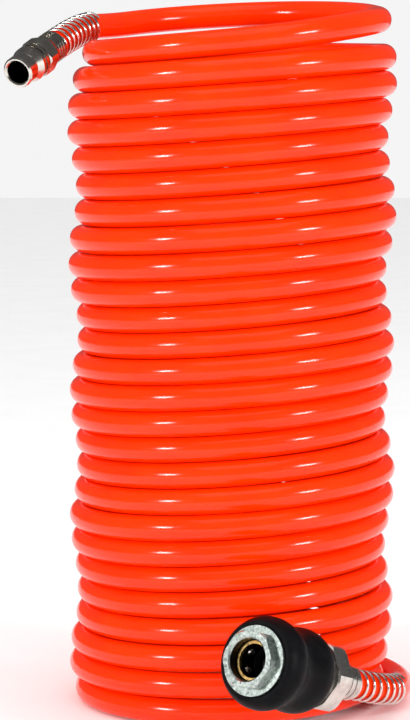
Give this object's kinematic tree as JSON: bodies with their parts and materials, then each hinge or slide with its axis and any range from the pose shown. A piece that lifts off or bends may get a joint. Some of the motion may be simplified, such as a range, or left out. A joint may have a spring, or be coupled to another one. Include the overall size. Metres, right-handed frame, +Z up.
{
  "type": "coiled air hose",
  "caption": "Recoil air hose standing as a tall coil, with a kink spring, ferrule and plug on its top end, and a spring, hex adapter and quick coupler on its bottom end.",
  "frame": {"origin": "on the coil's axis, at the surface that the coil stands on", "axes": "+Z up along the coil, -Y the front that the coupler's mouth looks towards, +X to the right"},
  "size_m": [0.1307, 0.1496, 0.2224],
  "materials": {
    "hose_nylon": "glossy orange nylon, slightly translucent at the edges",
    "nickel_plate": "bright nickel plate with fine turning marks",
    "zinc_plate": "zinc plate with a faint mottled blue-green passivate",
    "spring_steel": "bright plated spring wire",
    "brass": "machined brass",
    "black_grip": "satin black moulded rubber",
    "seal_rubber": "matte black nitrile rubber",
    "ball_steel": "polished ball steel",
    "valve_plastic": "moulded black acetal"
  },
  "bodies": {
    "coil": {"hose_coil": "hose_nylon", "hose_bottom_lead": "hose_nylon", "coupler_kink_spring": "spring_steel", "coupler_ferrule": "nickel_plate", "rear_adapter": "nickel_plate", "adapter_gasket": "seal_rubber", "coupler_body": "zinc_plate", "brass_guide_ring": "brass", "plug_seal": "seal_rubber", "sleeve_stop_ring": "zinc_plate", "sleeve_spring": "spring_steel", "valve_spring": "spring_steel"},
    "turn_half_01": {"hose_link_01": "hose_nylon"},
    "turn_half_02": {"hose_link_02": "hose_nylon"},
    "turn_half_03": {"hose_link_03": "hose_nylon"},
    "turn_half_04": {"hose_link_04": "hose_nylon"},
    "turn_half_05": {"hose_link_05": "hose_nylon"},
    "turn_half_06": {"hose_link_06": "hose_nylon"},
    "turn_half_07": {"hose_link_07": "hose_nylon"},
    "turn_half_08": {"hose_link_08": "hose_nylon"},
    "turn_half_09": {"hose_link_09": "hose_nylon"},
    "turn_half_10": {"hose_link_10": "hose_nylon"},
    "turn_half_11": {"hose_link_11": "hose_nylon"},
    "turn_half_12": {"hose_link_12": "hose_nylon"},
    "turn_half_13": {"hose_link_13": "hose_nylon"},
    "turn_half_14": {"hose_link_14": "hose_nylon"},
    "plug_end": {"hose_top_turn": "hose_nylon", "hose_top_lead": "hose_nylon", "plug_kink_spring": "spring_steel", "plug_ferrule": "nickel_plate", "plug_body": "nickel_plate"},
    "sleeve": {"release_sleeve": "zinc_plate", "sleeve_grip": "black_grip"},
    "ball_1": {"locking_ball_1": "ball_steel"},
    "ball_2": {"locking_ball_2": "ball_steel"},
    "ball_3": {"locking_ball_3": "ball_steel"},
    "ball_4": {"locking_ball_4": "ball_steel"},
    "ball_5": {"locking_ball_5": "ball_steel"},
    "ball_6": {"locking_ball_6": "ball_steel"},
    "valve": {"valve_poppet": "valve_plastic", "valve_seal": "seal_rubber"}
  },
  "joints": [
    {"name": "coil_stretch", "type": "hinge", "parent": "coil", "child": "turn_half_01", "pos_m": [-0.0477, 0, 0.14925], "axis": [0, -1, 0], "range_deg": [0, 25], "stiffness_Nm_per_rad": 1.5},
    {"name": "seam_02_twist", "type": "hinge", "parent": "turn_half_01", "child": "turn_half_02", "pos_m": [0.04838, 0, 0.15645], "axis": [0, -1, 0], "range_deg": [-50, 0]},
    {"name": "seam_03_twist", "type": "hinge", "parent": "turn_half_02", "child": "turn_half_03", "pos_m": [-0.04613, 0, 0.15765], "axis": [0, -1, 0], "range_deg": [0, 50]},
    {"name": "seam_04_twist", "type": "hinge", "parent": "turn_half_03", "child": "turn_half_04", "pos_m": [0.04774, 0, 0.16485], "axis": [0, -1, 0], "range_deg": [-50, 0]},
    {"name": "seam_05_twist", "type": "hinge", "parent": "turn_half_04", "child": "turn_half_05", "pos_m": [-0.04566, 0, 0.16605], "axis": [0, -1, 0], "range_deg": [0, 50]},
    {"name": "seam_06_twist", "type": "hinge", "parent": "turn_half_05", "child": "turn_half_06", "pos_m": [0.04616, 0, 0.17325], "axis": [0, -1, 0], "range_deg": [-50, 0]},
    {"name": "seam_07_twist", "type": "hinge", "parent": "turn_half_06", "child": "turn_half_07", "pos_m": [-0.0469, 0, 0.17445], "axis": [0, -1, 0], "range_deg": [0, 50]},
    {"name": "seam_08_twist", "type": "hinge", "parent": "turn_half_07", "child": "turn_half_08", "pos_m": [0.04565, 0, 0.18165], "axis": [0, -1, 0], "range_deg": [-50, 0]},
    {"name": "seam_09_twist", "type": "hinge", "parent": "turn_half_08", "child": "turn_half_09", "pos_m": [-0.04826, 0, 0.18285], "axis": [0, -1, 0], "range_deg": [0, 50]},
    {"name": "seam_10_twist", "type": "hinge", "parent": "turn_half_09", "child": "turn_half_10", "pos_m": [0.04685, 0, 0.19005], "axis": [0, -1, 0], "range_deg": [-50, 0]},
    {"name": "seam_11_twist", "type": "hinge", "parent": "turn_half_10", "child": "turn_half_11", "pos_m": [-0.04803, 0, 0.19125], "axis": [0, -1, 0], "range_deg": [0, 50]},
    {"name": "seam_12_twist", "type": "hinge", "parent": "turn_half_11", "child": "turn_half_12", "pos_m": [0.04824, 0, 0.19845], "axis": [0, -1, 0], "range_deg": [-50, 0]},
    {"name": "seam_13_twist", "type": "hinge", "parent": "turn_half_12", "child": "turn_half_13", "pos_m": [-0.04649, 0, 0.19965], "axis": [0, -1, 0], "range_deg": [0, 50]},
    {"name": "seam_14_twist", "type": "hinge", "parent": "turn_half_13", "child": "turn_half_14", "pos_m": [0.04805, 0, 0.20685], "axis": [0, -1, 0], "range_deg": [-50, 0]},
    {"name": "top_turn_level", "type": "hinge", "parent": "turn_half_14", "child": "plug_end", "pos_m": [-0.0435, 0, 0.20805], "axis": [0, -1, 0], "range_deg": [0, 25]},
    {"name": "sleeve_pull", "type": "slide", "parent": "coil", "child": "sleeve", "axis": [0.5809, 0.757, -0.299], "range_m": [0, 0.003], "stiffness_N_per_m": 1200, "springref_m": -0.003, "deforming": ["sleeve_spring"]},
    {"name": "ball_1_lift", "type": "slide", "parent": "coil", "child": "ball_1", "axis": [0.7781, -0.4086, 0.4771], "range_m": [0, 0.00075]},
    {"name": "ball_2_lift", "type": "slide", "parent": "coil", "child": "ball_2", "axis": [0.182, 0.2372, 0.9542], "range_m": [0, 0.00075]},
    {"name": "ball_3_lift", "type": "slide", "parent": "coil", "child": "ball_3", "axis": [-0.596, 0.6458, 0.4771], "range_m": [0, 0.00075]},
    {"name": "ball_4_lift", "type": "slide", "parent": "coil", "child": "ball_4", "axis": [-0.7781, 0.4086, -0.4771], "range_m": [0, 0.00075]},
    {"name": "ball_5_lift", "type": "slide", "parent": "coil", "child": "ball_5", "axis": [-0.182, -0.2372, -0.9542], "range_m": [0, 0.00075]},
    {"name": "ball_6_lift", "type": "slide", "parent": "coil", "child": "ball_6", "axis": [0.596, -0.6458, -0.4771], "range_m": [0, 0.00075]},
    {"name": "valve_push", "type": "slide", "parent": "coil", "child": "valve", "axis": [0.5809, 0.757, -0.299], "range_m": [0, 0.003], "stiffness_N_per_m": 400, "springref_m": -0.004, "deforming": ["valve_spring"]}
  ],
  "couplings": [
    {"joint": "seam_02_twist", "follows": "coil_stretch", "ratio": -2},
    {"joint": "seam_03_twist", "follows": "coil_stretch", "ratio": 2},
    {"joint": "seam_04_twist", "follows": "coil_stretch", "ratio": -2},
    {"joint": "seam_05_twist", "follows": "coil_stretch", "ratio": 2},
    {"joint": "seam_06_twist", "follows": "coil_stretch", "ratio": -2},
    {"joint": "seam_07_twist", "follows": "coil_stretch", "ratio": 2},
    {"joint": "seam_08_twist", "follows": "coil_stretch", "ratio": -2},
    {"joint": "seam_09_twist", "follows": "coil_stretch", "ratio": 2},
    {"joint": "seam_10_twist", "follows": "coil_stretch", "ratio": -2},
    {"joint": "seam_11_twist", "follows": "coil_stretch", "ratio": 2},
    {"joint": "seam_12_twist", "follows": "coil_stretch", "ratio": -2},
    {"joint": "seam_13_twist", "follows": "coil_stretch", "ratio": 2},
    {"joint": "seam_14_twist", "follows": "coil_stretch", "ratio": -2},
    {"joint": "top_turn_level", "follows": "coil_stretch", "ratio": 1},
    {"joint": "ball_1_lift", "follows": "sleeve_pull", "ratio": 0.25},
    {"joint": "ball_2_lift", "follows": "sleeve_pull", "ratio": 0.25},
    {"joint": "ball_3_lift", "follows": "sleeve_pull", "ratio": 0.25},
    {"joint": "ball_4_lift", "follows": "sleeve_pull", "ratio": 0.25},
    {"joint": "ball_5_lift", "follows": "sleeve_pull", "ratio": 0.25},
    {"joint": "ball_6_lift", "follows": "sleeve_pull", "ratio": 0.25}
  ]
}
